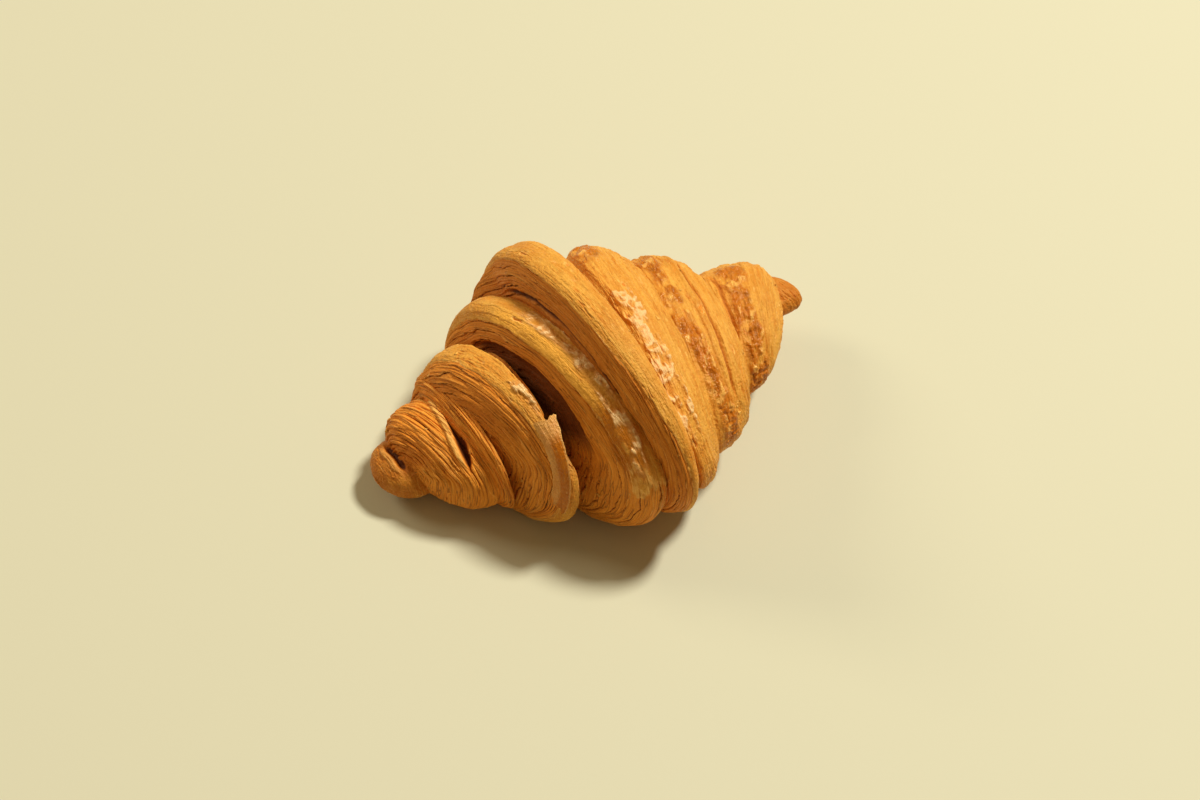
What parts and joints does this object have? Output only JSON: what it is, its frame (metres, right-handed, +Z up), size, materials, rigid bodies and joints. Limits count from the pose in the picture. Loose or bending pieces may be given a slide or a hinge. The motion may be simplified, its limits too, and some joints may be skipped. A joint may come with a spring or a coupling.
{
  "type": "croissant",
  "caption": "Baked butter croissant: stout straight roll of stepped laminated coils that taper to two tips, with a flattened underside to rest on.",
  "frame": {"origin": "middle of the croissant's box in X and Y, on the surface that it rests on", "axes": "+X along the roll from the thick low tip to the slim raised tip, +Y to the back, where both tips curve, +Z up"},
  "size_m": [0.158, 0.11, 0.0683],
  "materials": {
    "crust": "golden brown glazed crust with darker laminated edges"
  },
  "bodies": {
    "root": {"croissant": "crust"}
  },
  "joints": []
}
